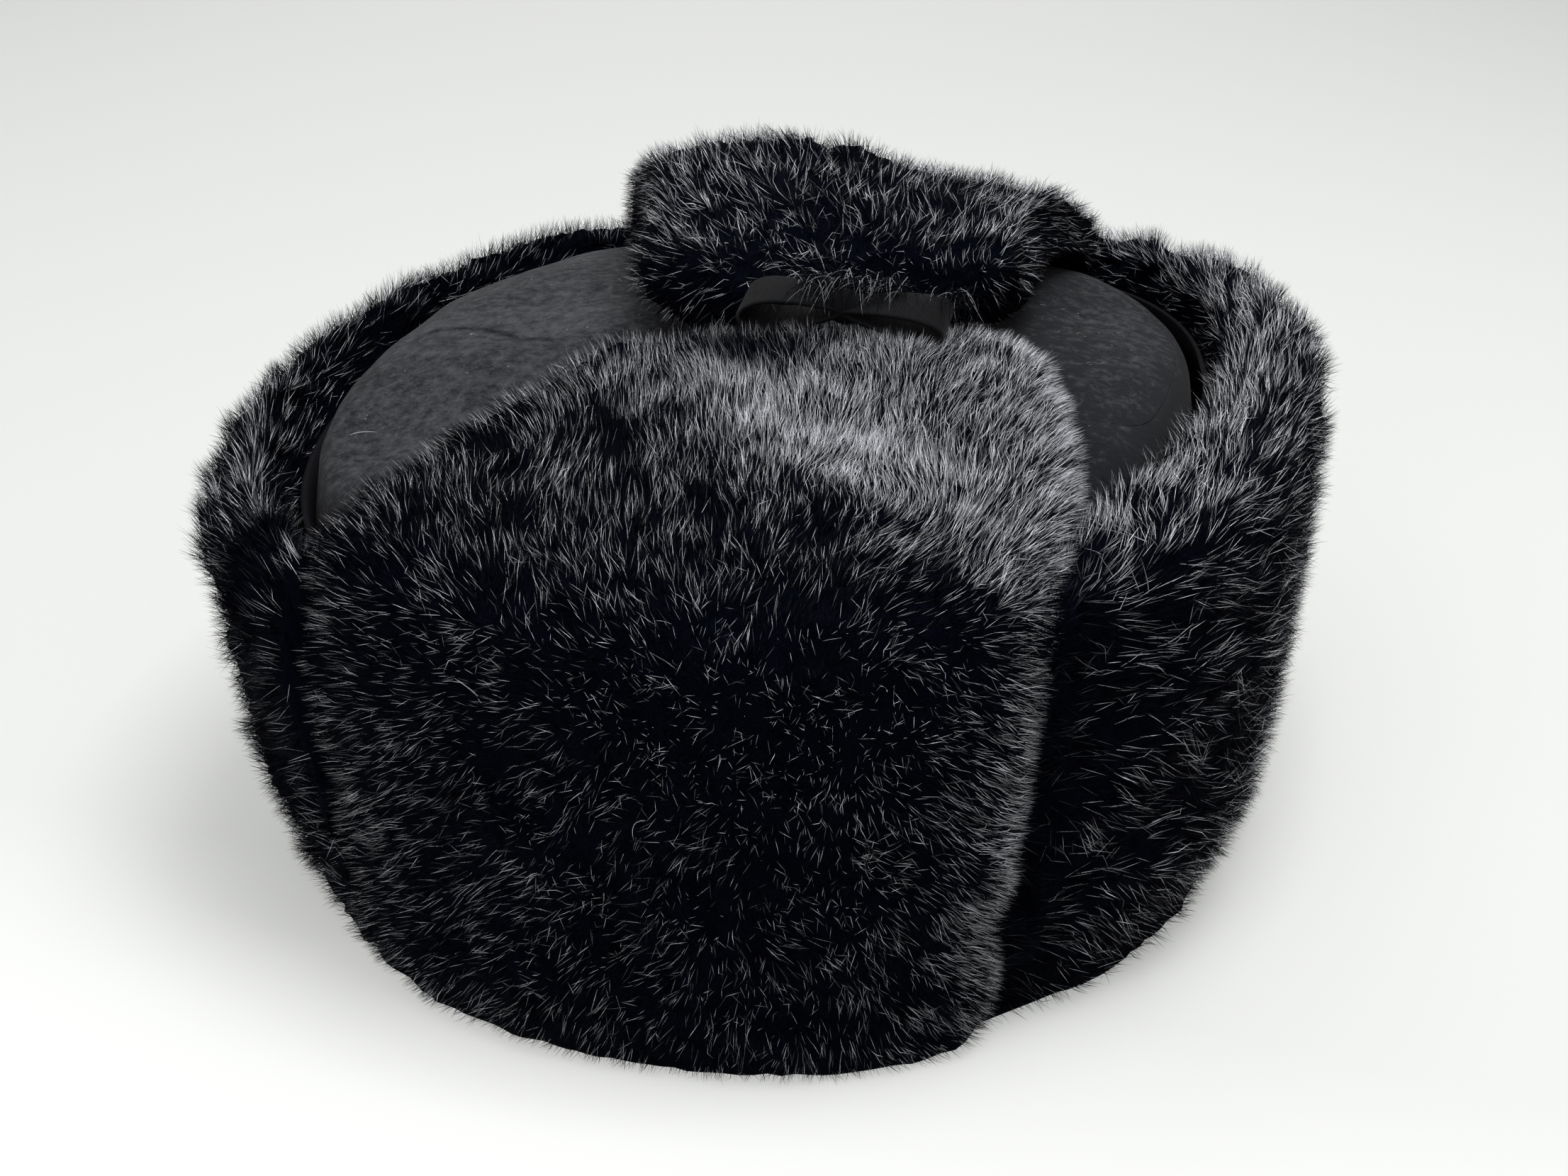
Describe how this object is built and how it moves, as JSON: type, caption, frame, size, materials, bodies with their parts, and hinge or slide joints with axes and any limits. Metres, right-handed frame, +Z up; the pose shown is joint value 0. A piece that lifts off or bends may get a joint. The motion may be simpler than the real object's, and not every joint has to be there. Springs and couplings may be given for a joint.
{
  "type": "fur ushanka hat",
  "caption": "Black faux-fur ushanka resting on its rim, with its front flap folded up over the crown and its ear flaps folded up and tied with a ribbon bow on top.",
  "frame": {"origin": "middle of the underside of the hat's bounding box, on the surface the rim rests on", "axes": "+Z up, -Y towards the front flap, +X to the right as seen from the front (the wearer's left)"},
  "size_m": [0.2528, 0.281, 0.1459],
  "materials": {
    "fur": "deep faux-fur pile, near-black with fine glints",
    "crown_cloth": "matte napped cloth, charcoal",
    "ribbon": "finely ribbed ribbon, black"
  },
  "bodies": {
    "root": {"crown_band": "crown_cloth", "crown_top": "crown_cloth", "front_flap": "fur", "ear_flap_left": "fur", "ear_flap_right": "fur", "ear_facing_left": "crown_cloth", "ear_facing_right": "crown_cloth", "tie_bow": "ribbon"}
  },
  "joints": []
}
